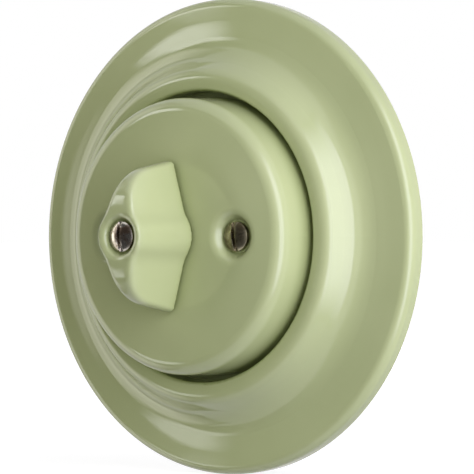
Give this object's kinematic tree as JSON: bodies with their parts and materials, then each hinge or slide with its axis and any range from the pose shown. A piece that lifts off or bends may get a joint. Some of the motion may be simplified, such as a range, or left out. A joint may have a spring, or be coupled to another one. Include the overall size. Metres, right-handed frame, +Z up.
{
  "type": "rotary light switch",
  "caption": "Glazed porcelain rotary light switch with a winged turn knob on a round cover and frame, for a round wall box.",
  "frame": {"origin": "on the shaft's axis in the plane of the wall, centre of the mounting plate's screw slots", "axes": "+Y along the shaft's axis into the wall, +Z up, +X to the right as seen from the room; the front faces -Y"},
  "size_m": [0.1, 0.0633, 0.1],
  "materials": {
    "green_glaze": "glossy pale green glaze",
    "screw_nickel": "aged nickel plate",
    "zinc_steel": "zinc plated",
    "brass": "turned, slightly dull",
    "bronze": "rolled spring bronze",
    "silver": "contact silver",
    "black_moulding": "moulded phenolic",
    "brown_laminate": "punched laminated sheet",
    "spring_steel": "hardened strip"
  },
  "bodies": {
    "switch_body": {"rosette": "green_glaze", "cover": "green_glaze", "cover_screws": "screw_nickel", "mounting_plate": "zinc_steel", "bearing_plate": "brown_laminate", "cover_pillars": "brass", "assembly_screws": "zinc_steel", "switch_base": "black_moulding", "rear_plate": "brown_laminate", "rear_screws": "zinc_steel", "contact_leaf_left": "bronze", "contact_leaf_right": "bronze", "leaf_rivets": "brass", "terminal_left": "brass", "terminal_right": "brass", "terminal_screws": "zinc_steel", "detent_spring_upper": "spring_steel", "detent_spring_lower": "spring_steel"},
    "rotor": {"knob": "green_glaze", "knob_insert": "brass", "knob_screw": "screw_nickel", "shaft": "zinc_steel", "rotor_cam": "black_moulding", "contact_bridge": "brass", "bridge_contacts": "silver"}
  },
  "joints": [
    {"name": "knob_turn", "type": "hinge", "parent": "switch_body", "child": "rotor", "pos_m": [0, 0, 0], "axis": [0, -1, 0], "continuous": true, "deforming": ["detent_spring_upper", "detent_spring_lower"]}
  ]
}
